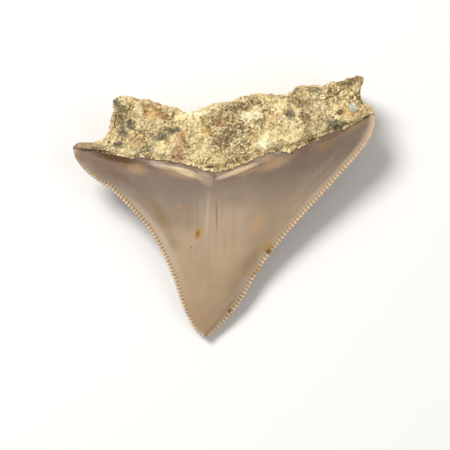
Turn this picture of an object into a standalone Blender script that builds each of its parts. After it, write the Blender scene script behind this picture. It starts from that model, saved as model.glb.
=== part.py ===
# A fossil megalodon tooth with a broken root, lying with its labial (flat) face up.
#
# Metres, +Z up. The tooth is shaped in its own flat frame first: X runs along the shoulders,
# Y from the tip to the root, and Z out of the labial face. It is then pitched until it rests
# on its tip and on the worn flat patch of the root's back. The lengths below are written in
# millimetres, and the finished mesh is scaled to metres.
#
# The mesh starts as a block whose sides are the tooth's own directions: x is the column
# (-2 to 2, from the left cutting edge to the right one), y is the row (0 at the tip, 1 at the
# enamel's end, 2 at the broken top), and z is +1 on the labial face and -1 on the lingual face.

import math
from functools import lru_cache

import bmesh
import bpy
from mathutils import Matrix, Vector, noise

OBJECT_NAME = "tooth"
COLLECTION_NAME = "megalodon_tooth"
METRES_PER_MM = 0.001

# Outline of the crown, from the tip to the shoulders.
LEFT_EDGE = ((-0.4, 0.1), (-1.7, 1.4), (-3.4, 5.2), (-4.8, 11.2), (-7.8, 18.9),
             (-13.2, 26.2), (-17.0, 29.6), (-18.8, 32.4), (-19.1, 34.3))
RIGHT_EDGE = ((0.4, 0.1), (2.6, 1.6), (6.5, 5.3), (10.6, 11.0), (17.0, 17.4),
              (25.0, 24.5), (30.2, 29.4), (32.1, 32.6), (32.2, 34.9))

# End of the enamel on the labial face: from each shoulder down to the notch.
NOTCH = (5.2, 27.4)
ENAMEL_END_LEFT = ((-14.2, 32.9), (-9.7, 31.7), (-5.5, 30.7), (-1.0, 29.4), (2.8, 27.9))
ENAMEL_END_RIGHT = ((8.6, 28.6), (12.3, 29.7), (16.0, 30.0), (19.9, 30.7), (23.6, 31.9),
                    (28.0, 33.6))

# Outline of the root: the left shoulder's free rim, the left side and the broken top down to
# the middle, then the rest of the top, the right side and the right shoulder.
ROOT_LEFT = ((-18.9, 34.6), (-18.2, 35.0), (-16.7, 35.1), (-15.4, 35.0), (-14.3, 35.4),
             (-13.1, 36.6), (-12.1, 38.6), (-11.2, 40.7), (-11.8, 41.7), (-10.8, 42.2),
             (-8.5, 41.9), (-6.1, 41.1), (-2.8, 39.8), (-1.3, 39.4), (0.6, 38.6),
             (3.0, 38.7), (5.4, 39.3))
ROOT_RIGHT = ((5.4, 39.3), (8.7, 39.5), (10.6, 40.0), (13.8, 40.2), (15.2, 39.9),
              (18.0, 39.5), (19.8, 40.5), (21.9, 40.8), (24.6, 40.3), (25.8, 40.8),
              (27.9, 41.1), (30.5, 41.6), (31.4, 41.0), (30.9, 39.3), (30.8, 37.6),
              (31.1, 36.6), (31.9, 35.8), (32.0, 35.2))

# Serrations of the two cutting edges, which lie in a band along each edge. They die away
# towards the shoulders, from a share of the edge's length on.
LEFT_SERRATIONS = 64
RIGHT_SERRATIONS = 72
LEFT_FADE_START = 0.74
RIGHT_FADE_START = 0.8
FADE_END = 0.97
SERRATION_DEPTH = 0.30
SERRATION_RELIEF = 0.12
SERRATION_GAP = 0.28
STATIONS_PER_SERRATION = 3
EDGE_BAND = 1.1
BASE_TURN_START = 0.9
TIP_TAPER = 0.1
TIP_BAND_SHARE = 0.2
TIP_SERRATION_SHARE = 0.6

# Thickness of the crown, measured back from the labial face. The swell powers set how full
# the lingual face is along the tooth and across it.
EDGE_THICKNESS = 0.38
TIP_THICKNESS = 0.75
CROWN_THICKNESS = 8.0
LENGTH_SWELL_POWER = 0.62
SIDE_SWELL_POWER = 2.2
TOP_SWELL_POWER = 0.85

# Thickness of the root: the broken top, the thin wings at the shoulders, the thick bar (torus)
# across the lingual face, and the neck between the bar and the crown.
BREAK_THICKNESS = 8.6
WING_THICKNESS = 1.1
WING_REACH = 3.0
LEFT_WING_SHARE = 0.11
RIGHT_WING_SHARE = 0.0
WING_RAMP = 0.22
TORUS_THICKNESS = 2.6
TORUS_ROWS = (0.94, 1.5)
TORUS_TOP_ROWS = (1.65, 2.0)
TORUS_TOP_LOSS = 0.45
TORUS_SHIFT = 0.12
TORUS_LEAN = 0.2
TORUS_POWER = 4
NECK_ROW = 0.9
NECK_RISE = 0.08
NECK_WIDTH = 0.035
NECK_DEPTH = 0.25

# Relief of the labial face: its slight crown, the drop at the edges, the flute inside each
# edge, the roll and groove along the enamel's end, and the fold that runs down from the notch.
LABIAL_CROWN = 0.75
LABIAL_CROWN_LOSS = 0.55
EDGE_DROP = 0.25
EDGE_DROP_REACH = 2.2
FLUTE_DEPTH = 0.2
FLUTE_INSET = 2.7
FLUTE_SLANT = 0.72
FLUTE_WIDTH = 1.1
FLUTE_START_ROWS = (0.12, 0.35)
FLUTE_END_ROWS = (0.8, 0.95)
ROLL_HEIGHT = 0.3
ROLL_INSET = 1.5
ROLL_WIDTH = 1.0
GROOVE_DEPTH = 0.22
GROOVE_WIDTH = 0.5
CALM_RIM = (0.4, 2.5)
FOLD_DEPTH = 0.3
FOLD_WIDTH = 0.9
FOLD_START_ROW = 0.84

# The crust of rock on the root stands over the enamel's end and falls away to the broken top.
CRUST_STEP = 0.45
CRUST_STEP_ROWS = 0.12
CRUST_FALL = 0.6

# Rounding and slope of the broken top and of the root's sides, which lean towards a middle.
# The top stands highest at a share of the thickness behind the labial face.
ROOT_MIDDLE = (9.5, 34.5)
SIDE_LEAN = 0.35
BREAK_CREST = 0.25
BREAK_ROUNDING = 0.35
BREAK_SLOPE = 1.6
BREAK_SLOPE_POWER = 1.6
THICK_DEPTH = 5.0

# Roughness of the root, and its larger lumps (+) and hollows (-): x, y, radius, height.
LUMP_HEIGHT = 0.55
LUMP_SIZE = 3.6
GRIT_HEIGHT = 0.26
GRIT_SIZE = 1.5
GRIT_OFFSET = Vector((7.0, 0.0, 0.0))
LABIAL_ROUGH_START = 1.0
LINGUAL_ROUGH_START = 0.93
ROUGH_RAMP = 0.12
CALM_LEFT_SHOULDER = 3.0
CALM_RIGHT_SHOULDER = 2.0
LABIAL_LUMPS = ((10.5, 38.9, 1.5, 0.7), (28.6, 36.1, 1.1, 0.6), (24.9, 33.9, 1.2, 0.45),
                (17.2, 30.3, 1.2, 0.45), (14.8, 31.6, 1.2, 0.45), (20.5, 33.2, 1.6, 0.4),
                (-6.0, 38.6, 2.0, 0.5), (-12.0, 39.8, 1.4, 0.4), (6.7, 33.0, 1.9, -0.6),
                (-10.6, 36.6, 1.7, -0.5), (-3.4, 35.2, 1.5, -0.45), (20.6, 37.4, 1.8, -0.5))

# Nutrient hole in the middle of the root's back.
FORAMEN_PLACE = (5.6, 36.9)
FORAMEN_RADIUS = 1.3
FORAMEN_DEPTH = 1.1

# Rest: the pitch of the labial face, and the smooth patch of the root's back that is worn flat.
REST_PITCH = math.radians(15.0)
TIP_REACH = 5.0
WORN_PATCH = (7.0, 32.5)
WORN_PATCH_CORE = 2.0
WORN_PATCH_REACH = 9.0

# Mesh: the first cuts of the block, and the longest facet edges.
CROWN_ROWS = 24
ROOT_ROWS = (1.0, 1.25, 1.5, 1.75)
COLUMNS = (-1.5, -1.0, -0.75, -0.5, -0.25, 0.0, 0.25, 0.5, 0.75, 1.0, 1.5)
BAND_COLUMN = 1.4
CROWN_FACET = 2.1
ROOT_FACET = 1.35
HALVING_ROUNDS = 4
TINY = 1e-5

ENAMEL_COLOUR = (0.32, 0.26, 0.19, 1.0)
ENAMEL_ROUGHNESS = 0.3
ROOT_COLOUR = (0.55, 0.44, 0.22, 1.0)
ROOT_ROUGHNESS = 0.9


def smoothstep(low, high, value):
    share = min(max((value - low) / (high - low), 0.0), 1.0)
    return share * share * (3.0 - 2.0 * share)


def bell(value, width):
    return math.exp(-(value / width) ** 2)


class Path:
    """A smooth curve through a few points, read by the share of its length."""

    def __init__(self, points, steps=24):
        knots = [Vector(point) for point in points]
        spans = [(b - a).length for a, b in zip(knots, knots[1:])]
        slopes = [(knots[1] - knots[0]) / spans[0]]
        for i in range(1, len(knots) - 1):
            slopes.append((knots[i + 1] - knots[i - 1]) / (spans[i - 1] + spans[i]))
        slopes.append((knots[-1] - knots[-2]) / spans[-1])
        self.points = [knots[0]]
        for i, span in enumerate(spans):
            for step in range(1, steps + 1):
                t = step / steps
                start = knots[i] * (1 - t) ** 2 * (1 + 2 * t)
                end = knots[i + 1] * t * t * (3 - 2 * t)
                bend = slopes[i] * span * t * (1 - t) ** 2 - slopes[i + 1] * span * t * t * (1 - t)
                self.points.append(start + end + bend)
        self.lengths = [0.0]
        for a, b in zip(self.points, self.points[1:]):
            self.lengths.append(self.lengths[-1] + (b - a).length)
        self.length = self.lengths[-1]

    def segment(self, share):
        distance = min(max(share, 0.0), 1.0) * self.length
        low = 0
        high = len(self.lengths) - 1
        while high - low > 1:
            middle = (low + high) // 2
            if self.lengths[middle] > distance:
                high = middle
            else:
                low = middle
        return low, (distance - self.lengths[low]) / (self.lengths[high] - self.lengths[low])

    def at(self, share):
        i, t = self.segment(share)
        return self.points[i].lerp(self.points[i + 1], t)

    def direction(self, share):
        i, _ = self.segment(share)
        return (self.points[i + 1] - self.points[i]).normalized()


class Edge:
    """One cutting edge: its path, its serrations, and the band along it."""

    def __init__(self, points, side, serrations, fade_start, enamel_end_point):
        self.path = Path(points)
        self.side = side
        self.serrations = serrations
        self.fade_start = fade_start
        shoulder = self.path.at(1.0)
        self.base_direction = (Vector(enamel_end_point) - shoulder).normalized()

    def inward(self, row):
        along = self.path.direction(row)
        across = Vector((along.y, -along.x)) * -self.side
        share = smoothstep(BASE_TURN_START, 1.0, row)
        return across.lerp(self.base_direction, share).normalized()

    def band_width(self, row):
        taper = smoothstep(0.0, TIP_TAPER, row)
        return EDGE_BAND * (TIP_BAND_SHARE + (1.0 - TIP_BAND_SHARE) * taper)

    def serration_size(self, row):
        number = math.floor(row * self.serrations)
        uneven = 0.9 + 0.35 * noise.noise(Vector((number * 3.7, self.side * 5.3, 0.4)))
        fade = 1.0 - smoothstep(self.fade_start, FADE_END, row)
        taper = smoothstep(0.0, TIP_TAPER, row)
        return uneven * fade * (TIP_SERRATION_SHARE + (1.0 - TIP_SERRATION_SHARE) * taper)

    def bead(self, row):
        """1 on a serration and 0 in the gap between two."""
        phase = (row * self.serrations) % 1.0
        return smoothstep(0.0, SERRATION_GAP, min(phase, 1.0 - phase))

    def point(self, inset, row):
        """A point of the band: inset 0 is the edge itself and 1 the band's inner side."""
        notch = (1.0 - self.bead(row)) * self.serration_size(row) * SERRATION_DEPTH
        distance = inset * self.band_width(row) + notch * (1.0 - inset) ** 2
        return self.path.at(row) + self.inward(row) * distance

    def relief(self, inset, row):
        """Height of a serration's rib over the gaps beside it."""
        reach = 1.0 - smoothstep(0.45, 1.0, inset)
        return (self.bead(row) - 0.6) * self.serration_size(row) * SERRATION_RELIEF * reach


left = Edge(LEFT_EDGE, -1, LEFT_SERRATIONS, LEFT_FADE_START, ENAMEL_END_LEFT[0])
right = Edge(RIGHT_EDGE, 1, RIGHT_SERRATIONS, RIGHT_FADE_START, ENAMEL_END_RIGHT[-1])
enamel_end_left = Path((left.point(1.0, 1.0),) + ENAMEL_END_LEFT + (NOTCH,))
enamel_end_right = Path((NOTCH,) + ENAMEL_END_RIGHT + (right.point(1.0, 1.0),))
root_left = Path(ROOT_LEFT)
root_right = Path(ROOT_RIGHT)


def nearer_edge(column):
    return left if column < 0.0 else right


@lru_cache(maxsize=None)
def enamel_end(column):
    """The line where the enamel stops, for a column from -2 to 2."""
    if abs(column) > 1.0:
        return nearer_edge(column).point(2.0 - abs(column), 1.0)
    if column < 0.0:
        return enamel_end_left.at(1.0 + column)
    return enamel_end_right.at(column)


def outline_share(column, length):
    """Share of the root's outline that a column has passed, counted from its shoulder."""
    band = EDGE_BAND / length
    if abs(column) > 1.0:
        return band * (2.0 - abs(column))
    return band + (1.0 - band) * (1.0 - abs(column))


def root_outline(column):
    """The root's outline, for a column from -2 to 2."""
    if column < 0.0:
        return root_left.at(outline_share(column, root_left.length))
    return root_right.at(1.0 - outline_share(column, root_right.length))


def crown_point(column, row):
    """Place of a column and row of the crown, seen on the labial face."""
    if abs(column) > 1.0:
        return nearer_edge(column).point(2.0 - abs(column), row)
    share = (column + 1.0) / 2.0
    chord = left.point(1.0, row).lerp(right.point(1.0, row), share)
    base_chord = left.point(1.0, 1.0).lerp(right.point(1.0, 1.0), share)
    return chord + (enamel_end(column) - base_chord) * row * row


def root_point(column, row, depth_share):
    """Place in the root; depth_share is 0 on the labial face and 1 on the lingual face."""
    height = row - 1.0
    top = root_outline(column)
    inward = Vector(ROOT_MIDDLE) - top
    inward.x *= SIDE_LEAN
    before_crest = max(0.0, 1.0 - depth_share / BREAK_CREST)
    past_crest = max(0.0, (depth_share - BREAK_CREST) / (1.0 - BREAK_CREST))
    inset = BREAK_ROUNDING * before_crest ** 2 * height ** 4
    inset += BREAK_SLOPE * past_crest ** BREAK_SLOPE_POWER
    inset *= smoothstep(0.0, THICK_DEPTH, back_depth(column, 2.0))
    return enamel_end(column).lerp(top + inward.normalized() * inset, height)


@lru_cache(maxsize=None)
def edge_distance(column, row):
    """Distance to the nearer cutting edge, and the half width there, along the row."""
    width = (right.path.at(row) - left.path.at(row)).length / 2.0
    band = nearer_edge(column).band_width(row)
    if abs(column) > 1.0:
        return band * (2.0 - abs(column)), width
    return band + (width - band) * (1.0 - abs(column)), width


def crown_depth(column, row):
    """Depth of the lingual enamel under the labial plane."""
    distance, width = edge_distance(column, row)
    share = min(distance / width, 1.0)
    swell = (1.0 - (1.0 - share) ** SIDE_SWELL_POWER) ** TOP_SWELL_POWER
    middle = TIP_THICKNESS + (CROWN_THICKNESS - TIP_THICKNESS) * row ** LENGTH_SWELL_POWER
    return EDGE_DROP + EDGE_THICKNESS + (middle - EDGE_THICKNESS) * swell


def side_rise(column):
    """How fast the root gets thick past the thin wings of the shoulders."""
    share = outline_share(column, root_left.length)
    wing = LEFT_WING_SHARE if column < 0.0 else RIGHT_WING_SHARE
    return smoothstep(wing, wing + WING_RAMP, share)


@lru_cache(maxsize=None)
def back_depth(column, row):
    """Depth of the lingual face under the labial plane, at any row."""
    if row <= 1.0:
        depth = crown_depth(column, row)
    else:
        distance, _ = edge_distance(column, 1.0)
        wing = EDGE_THICKNESS + EDGE_DROP + WING_THICKNESS * smoothstep(0.0, WING_REACH, distance)
        broken = wing + (BREAK_THICKNESS - wing) * side_rise(column)
        depth = crown_depth(column, 1.0) * (2.0 - row) + broken * (row - 1.0)
    middle = 1.0 - (abs(column - TORUS_SHIFT) / (2.0 + TORUS_SHIFT)) ** TORUS_POWER
    neck = NECK_DEPTH * bell(row - NECK_ROW - NECK_RISE * abs(column), NECK_WIDTH)
    torus = smoothstep(*TORUS_ROWS, row) * (1.0 - TORUS_TOP_LOSS * smoothstep(*TORUS_TOP_ROWS, row))
    torus *= TORUS_THICKNESS * (1.0 + TORUS_LEAN * column) * side_rise(column)
    return depth + middle * (torus - neck)


def crown_height(column, row):
    """Height of the labial enamel over the labial plane."""
    distance, width = edge_distance(column, row)
    share = min(distance / width, 1.0)
    height = LABIAL_CROWN * (1.0 - (1.0 - share) ** 2) * (1.0 - LABIAL_CROWN_LOSS * row)
    height -= EDGE_DROP * (1.0 - smoothstep(0.0, EDGE_DROP_REACH, distance))
    flute = smoothstep(*FLUTE_START_ROWS, row) * (1.0 - smoothstep(*FLUTE_END_ROWS, row))
    height -= FLUTE_DEPTH * flute * bell(distance * FLUTE_SLANT - FLUTE_INSET, FLUTE_WIDTH)
    from_end = (1.0 - row) * enamel_end(column).length
    away = smoothstep(*CALM_RIM, distance)
    height += ROLL_HEIGHT * bell(from_end - ROLL_INSET, ROLL_WIDTH) * away
    height -= GROOVE_DEPTH * bell(from_end, GROOVE_WIDTH) * away
    height -= FOLD_DEPTH * bell(column * width, FOLD_WIDTH) * smoothstep(FOLD_START_ROW, 1.0, row)
    if abs(column) > 1.0:
        height += nearer_edge(column).relief(2.0 - abs(column), row)
    return height


@lru_cache(maxsize=None)
def front_height(column, row):
    """Height of the labial face over the labial plane, at any row."""
    if row <= 1.0:
        return crown_height(column, row)
    share = row - 1.0
    crust = CRUST_STEP * smoothstep(0.0, CRUST_STEP_ROWS, share) - CRUST_FALL * share * share
    wing = smoothstep(0.0, WING_REACH, edge_distance(column, 1.0)[0])
    return crown_height(column, 1.0) + crust * wing


@lru_cache(maxsize=None)
def place(column, row, side):
    """Place of a block point; side is +1 on the labial face and -1 on the lingual face."""
    depth_share = (1.0 - side) / 2.0
    if row <= 1.0:
        flat = crown_point(column, row)
    else:
        flat = root_point(column, row, depth_share)
    front = front_height(column, row)
    back = -back_depth(column, row)
    return Vector((flat.x, flat.y, front + (back - front) * depth_share))


def cut_block(mesh, axis, values):
    """Cut the block across one axis at each of the values."""
    normal = Vector((0.0, 0.0, 0.0))
    normal[axis] = 1.0
    for value in values:
        geometry = mesh.verts[:] + mesh.edges[:] + mesh.faces[:]
        bmesh.ops.bisect_plane(mesh, geom=geometry, plane_co=normal * value, plane_no=normal)


def edge_is_long(edge):
    start, end = (vertex.co for vertex in edge.verts)
    middle = (start + end) / 2.0
    if abs(middle.x) > 1.0 and middle.y < 1.0 and abs(start.y - end.y) > TINY:
        return False
    facet = ROOT_FACET if middle.y > 1.0 - TINY else CROWN_FACET
    return (place(*start) - place(*end)).length > facet


def refine(mesh):
    """Halve the block's edges until the facets are small on the tooth."""
    for _ in range(HALVING_ROUNDS):
        edges = [edge for edge in mesh.edges if edge_is_long(edge)]
        bmesh.ops.subdivide_edges(mesh, edges=edges, cuts=1, use_grid_fill=True,
                                  use_single_edge=True)


def cut_serrations(mesh, edge):
    """Give one cutting edge its rows, several for each serration."""
    along = []
    for line in mesh.edges:
        start, end = (vertex.co for vertex in line.verts)
        in_band = min(start.x * edge.side, end.x * edge.side) > BAND_COLUMN
        in_crown = max(start.y, end.y) < 1.0 + TINY
        if in_band and in_crown and abs(start.y - end.y) > TINY:
            along.append(line)
    cuts = edge.serrations * STATIONS_PER_SERRATION // CROWN_ROWS - 1
    bmesh.ops.subdivide_edges(mesh, edges=along, cuts=cuts, use_grid_fill=True,
                              use_single_edge=True)


def root_lumps(point, on_front):
    """Height of the root's lumps, hollows and grit at a point of its surface."""
    height = LUMP_HEIGHT * noise.noise(point / LUMP_SIZE)
    height += GRIT_HEIGHT * noise.noise(point / GRIT_SIZE + GRIT_OFFSET)
    if on_front:
        for x, y, radius, lump in LABIAL_LUMPS:
            height += lump * bell(math.dist((point.x, point.y), (x, y)), radius)
    else:
        from_patch = math.dist((point.x, point.y), WORN_PATCH)
        height *= smoothstep(WORN_PATCH_CORE, WORN_PATCH_REACH, from_patch)
        hole = bell(math.dist((point.x, point.y), FORAMEN_PLACE), FORAMEN_RADIUS)
        height -= FORAMEN_DEPTH * hole
    return height


def roughen_root(mesh, rows, sides):
    """Push the root's surface in and out along its normals."""
    mesh.normal_update()
    pushes = []
    for vertex in mesh.verts:
        on_front = sides[vertex.index] > 0.0
        start = LABIAL_ROUGH_START if on_front else LINGUAL_ROUGH_START
        share = smoothstep(start, start + ROUGH_RAMP, rows[vertex.index])
        share *= smoothstep(0.0, CALM_LEFT_SHOULDER, vertex.co.x - LEFT_EDGE[-1][0])
        share *= smoothstep(0.0, CALM_RIGHT_SHOULDER, RIGHT_EDGE[-1][0] - vertex.co.x)
        pushes.append(vertex.normal * root_lumps(vertex.co, on_front) * share)
    for vertex, push in zip(mesh.verts, pushes):
        vertex.co += push


def rest_on_floor(mesh):
    """Pitch the tooth, wear the root's back flat, and centre it over the origin."""
    bmesh.ops.rotate(mesh, verts=mesh.verts, cent=(0.0, 0.0, 0.0),
                     matrix=Matrix.Rotation(REST_PITCH, 3, "X"))
    floor = min(vertex.co.z for vertex in mesh.verts if vertex.co.y < TIP_REACH)
    for vertex in mesh.verts:
        vertex.co.z = max(vertex.co.z, floor)
    xs = [vertex.co.x for vertex in mesh.verts]
    ys = [vertex.co.y for vertex in mesh.verts]
    middle = Vector((min(xs) + max(xs), min(ys) + max(ys), 2.0 * floor)) / 2.0
    bmesh.ops.translate(mesh, verts=mesh.verts, vec=-middle)


def make_material(name, colour, roughness):
    material = bpy.data.materials.new(name)
    material.use_nodes = True
    shader = material.node_tree.nodes["Principled BSDF"]
    shader.inputs["Base Color"].default_value = colour
    shader.inputs["Roughness"].default_value = roughness
    shader.inputs["Metallic"].default_value = 0.0
    return material


def build_tooth(collection):
    mesh = bmesh.new()
    bmesh.ops.create_cube(mesh, size=2.0)
    bmesh.ops.scale(mesh, verts=mesh.verts, vec=(2.0, 1.0, 1.0))
    bmesh.ops.translate(mesh, verts=mesh.verts, vec=(0.0, 1.0, 0.0))
    cut_block(mesh, 0, COLUMNS)
    cut_block(mesh, 1, [row / CROWN_ROWS for row in range(1, CROWN_ROWS)])
    cut_block(mesh, 1, ROOT_ROWS)
    refine(mesh)
    cut_serrations(mesh, left)
    cut_serrations(mesh, right)

    mesh.verts.index_update()
    rows = [vertex.co.y for vertex in mesh.verts]
    sides = [vertex.co.z for vertex in mesh.verts]
    for vertex in mesh.verts:
        vertex.co = place(*vertex.co)
    roughen_root(mesh, rows, sides)
    for face in mesh.faces:
        face_row = sum(rows[vertex.index] for vertex in face.verts) / len(face.verts)
        face.material_index = 1 if face_row > 1.0 else 0
    rest_on_floor(mesh)
    bmesh.ops.scale(mesh, verts=mesh.verts, vec=(METRES_PER_MM,) * 3)
    bmesh.ops.triangulate(mesh, faces=mesh.faces[:])

    data = bpy.data.meshes.new(OBJECT_NAME)
    mesh.to_mesh(data)
    mesh.free()
    data.materials.append(make_material("enamel", ENAMEL_COLOUR, ENAMEL_ROUGHNESS))
    data.materials.append(make_material("root", ROOT_COLOUR, ROOT_ROUGHNESS))
    tooth = bpy.data.objects.new(OBJECT_NAME, data)
    collection.objects.link(tooth)
    return tooth


def main():
    for item in list(bpy.data.objects):
        bpy.data.objects.remove(item)
    collection = bpy.data.collections.new(COLLECTION_NAME)
    bpy.context.scene.collection.children.link(collection)
    build_tooth(collection)


main()
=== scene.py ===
import math
from functools import lru_cache

import bmesh
import bpy
from mathutils import Matrix, Vector, noise


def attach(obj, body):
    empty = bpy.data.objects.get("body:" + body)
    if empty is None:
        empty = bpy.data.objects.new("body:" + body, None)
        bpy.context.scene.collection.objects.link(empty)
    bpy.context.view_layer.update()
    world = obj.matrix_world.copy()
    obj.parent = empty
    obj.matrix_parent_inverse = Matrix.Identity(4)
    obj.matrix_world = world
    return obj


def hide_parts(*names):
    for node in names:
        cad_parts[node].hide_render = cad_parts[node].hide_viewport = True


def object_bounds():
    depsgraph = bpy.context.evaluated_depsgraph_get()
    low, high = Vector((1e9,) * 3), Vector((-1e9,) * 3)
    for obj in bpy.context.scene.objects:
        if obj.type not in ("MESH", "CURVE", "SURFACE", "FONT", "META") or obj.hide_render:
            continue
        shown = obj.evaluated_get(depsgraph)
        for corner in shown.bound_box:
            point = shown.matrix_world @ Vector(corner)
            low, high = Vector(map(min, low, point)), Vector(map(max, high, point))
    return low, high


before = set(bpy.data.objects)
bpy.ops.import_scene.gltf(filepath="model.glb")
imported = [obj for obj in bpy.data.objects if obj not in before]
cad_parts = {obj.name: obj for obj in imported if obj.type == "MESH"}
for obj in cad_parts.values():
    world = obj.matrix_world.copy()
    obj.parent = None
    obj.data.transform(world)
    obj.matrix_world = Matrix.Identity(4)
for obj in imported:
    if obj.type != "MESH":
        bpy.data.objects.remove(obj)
cadLow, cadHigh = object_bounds()
print("frame loaded:", sorted(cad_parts))

metresPerMm = 0.001

# The tooth, in millimetres and in its own flat frame: x runs along the shoulders, y from the tip
# to the root, and z out of the labial face. Outlines run from the tip or from a shoulder.
tooth = {
    "leftEdge": ((-0.4, 0.1), (-1.7, 1.4), (-3.4, 5.2), (-4.8, 11.2), (-7.8, 18.9),
                 (-13.2, 26.2), (-17.0, 29.6), (-18.8, 32.4), (-19.1, 34.3)),
    "rightEdge": ((0.4, 0.1), (2.6, 1.6), (6.5, 5.3), (10.6, 11.0), (17.0, 17.4),
                  (25.0, 24.5), (30.2, 29.4), (32.1, 32.6), (32.2, 34.9)),
    "notch": (4.5, 27.7),
    "enamelEndLeft": ((-14.4, 33.0), (-11.2, 32.0), (-9.5, 31.55), (-7.9, 31.45), (-4.6, 30.75),
                      (-1.2, 29.9), (0.4, 29.25), (2.0, 28.45)),
    "enamelEndRight": ((7.1, 28.1), (8.8, 28.6), (12.3, 29.6), (14.2, 30.1), (16.2, 30.15),
                       (19.4, 30.4), (22.0, 31.3), (23.0, 31.8), (24.6, 32.3), (28.0, 33.1)),
    "rootLeft": ((-18.9, 34.6), (-18.2, 35.0), (-16.7, 35.1), (-15.4, 35.0), (-14.3, 35.4),
                 (-13.1, 36.6), (-12.1, 38.6), (-11.2, 40.7), (-11.8, 41.7), (-10.8, 42.2),
                 (-8.5, 41.9), (-6.1, 41.1), (-2.8, 39.8), (-1.3, 39.4), (0.6, 38.6),
                 (3.0, 38.7), (5.4, 39.3)),
    "rootRight": ((5.4, 39.3), (8.7, 39.5), (10.6, 40.0), (13.8, 40.2), (15.2, 39.9),
                  (18.0, 39.5), (19.8, 40.5), (21.9, 40.8), (24.6, 40.3), (25.8, 40.8),
                  (27.9, 41.1), (30.5, 41.6), (31.4, 41.0), (30.9, 39.3), (30.8, 37.6),
                  (31.1, 36.6), (31.9, 35.8), (32.0, 35.2)),
    "edgeBand": 1.1, "tipBandShare": 0.2, "tipTaper": 0.1, "baseTurnFrom": 0.9,
    "edgeThickness": 0.38, "tipThickness": 0.75, "crownThickness": 8.0,
    "crownSwellPower": 0.62, "sideSwellPower": 2.2, "topSwellPower": 0.85,
    "edgeDrop": 0.25, "edgeDropReach": 2.2, "labialCrown": 0.75, "labialCrownLoss": 0.55,
    # the bar across the root's back, the neck under it and the thin wings at the shoulders;
    # rows run from 0 at the tip over 1 at the enamel's end to 2 at the broken top
    "torusThickness": 2.6, "torusShift": 0.12, "torusLean": 0.2, "torusPower": 4,
    "torusRows": (0.94, 1.5), "torusTopRows": (1.65, 2.0), "torusTopLoss": 0.45,
    "neckRow": 0.9, "neckRise": 0.08, "neckWidth": 0.035, "neckDepth": 0.25,
    "wingThickness": 1.1, "wingReach": 3.0, "leftWing": (0.11, 0.33), "rightWing": (0.0, 0.22),
    # the broken top, which stands highest at a share of the thickness
    "breakThickness": 8.6, "breakCrest": 0.25, "breakRounding": 0.35, "breakSlope": 1.6,
    "breakSlopePower": 1.6, "thickRoot": 5.0, "rootMiddle": (9.5, 34.5), "sideLean": 0.35,
    "restPitch": math.radians(15.0), "tipLength": 5.0,
    "wornPatch": (7.0, 32.5), "wornPatchReach": (2.0, 9.0),
}

serrations = {
    "left": 64,
    "right": 72,
    "leftFade": 0.74,         # share of the edge where they start to die away
    "rightFade": 0.8,
    "fadeEnd": 0.97,
    "size": 0.9, "uneven": 0.35, "noiseSteps": (3.7, 5.3, 0.4),
    "tipShare": 0.6, "tipReach": 0.12,
    "depth": 0.30,
    "relief": 0.16, "reliefLevel": 0.6, "reliefFrom": 0.45,
    "gap": 0.28,              # share of the pitch that a gap's flank takes
    "stations": 9,            # rows for each serration
}

enamelRelief = {
    "fluteDepth": 0.2, "fluteInset": 2.7, "fluteSlant": 0.72, "fluteWidth": 1.1,
    "fluteFrom": (0.12, 0.35), "fluteTo": (0.8, 0.95),
    "rollHeight": 0.36, "rollInset": 1.45, "rollWidth": 1.0, "rollLeast": 0.15,
    "rollFrom": (-9.0, -4.0), "rollTo": (11.0, 15.0), "calmRim": (0.4, 2.5),
    "grooveDepth": 0.22, "grooveWidth": 0.5,
    "foldDepth": 0.3, "foldWidth": 0.9, "foldFrom": 0.84,
}

# Lumps (+) and hollows (-) are x, y, radius and height.
rootRelief = {
    "lumpHeight": 0.55, "lumpSize": 3.6,
    "gritHeight": 0.26, "gritSize": 1.5, "gritOffset": 7.0,
    "grainHeight": 0.17, "grainSize": 0.72,       # cemented grains, with creases between them
    "sandHeight": 0.1, "sandSize": 0.34,
    "creaseWidth": 0.45, "domeShare": 0.6, "toneShare": 0.7, "sandTone": 0.7,
    "raggedHeight": 0.3, "raggedSize": 0.9, "raggedLayer": 3.0,    # the broken outline
    "wingRim": (1.0, 4.5), "wingShare": 0.15, "rightRim": 1.5,
    "frontFrom": 1.0, "backFrom": 0.93, "ramp": 0.12,              # rows where it gets rough
    "leftCalm": 3.0, "rightCalm": 2.0,
    "rise": 0.45, "riseRows": 0.12, "fall": 0.6, "riseRim": 3.0,   # over the enamel's end
    "labialLumps": ((10.5, 38.9, 1.5, 0.7), (28.6, 36.1, 1.1, 0.6), (24.9, 33.9, 1.2, 0.45),
                    (17.2, 30.3, 1.2, 0.45), (14.8, 31.6, 1.2, 0.45), (20.5, 33.2, 1.6, 0.4),
                    (-6.0, 38.6, 2.0, 0.5), (-12.0, 39.8, 1.4, 0.4), (6.7, 33.0, 1.9, -0.6),
                    (-10.6, 36.6, 1.7, -0.5), (-3.4, 35.2, 1.5, -0.45), (20.6, 37.4, 1.8, -0.5)),
    "foramen": (5.6, 36.9), "foramenRadius": 1.3, "foramenDepth": 1.1,
}

meshing = {
    "crownRows": 24,
    "columns": (-1.9, -1.75, -1.6, -1.45, -1.3, -1.15, -1.0, -0.75, -0.5, -0.25, 0.0,
                0.25, 0.5, 0.75, 1.0, 1.15, 1.3, 1.45, 1.6, 1.75, 1.9),
    "rootRows": (1.0, 1.25, 1.5, 1.75),
    "crownFacet": 0.7, "enamelEndFacet": 0.22, "rootFacet": 0.36, "labialRootFacet": 0.22,
    "enamelEndFrom": 0.94, "rounds": 6,
    "bandFrom": 0.99, "onEnd": 0.999, "level": 1e-5,    # how near counts as on a line
}


def smoothstep(low, high, value):
    share = min(max((value - low) / (high - low), 0.0), 1.0)
    return share * share * (3.0 - 2.0 * share)


def bell(value, width):
    return math.exp(-(value / width) ** 2)


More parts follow.
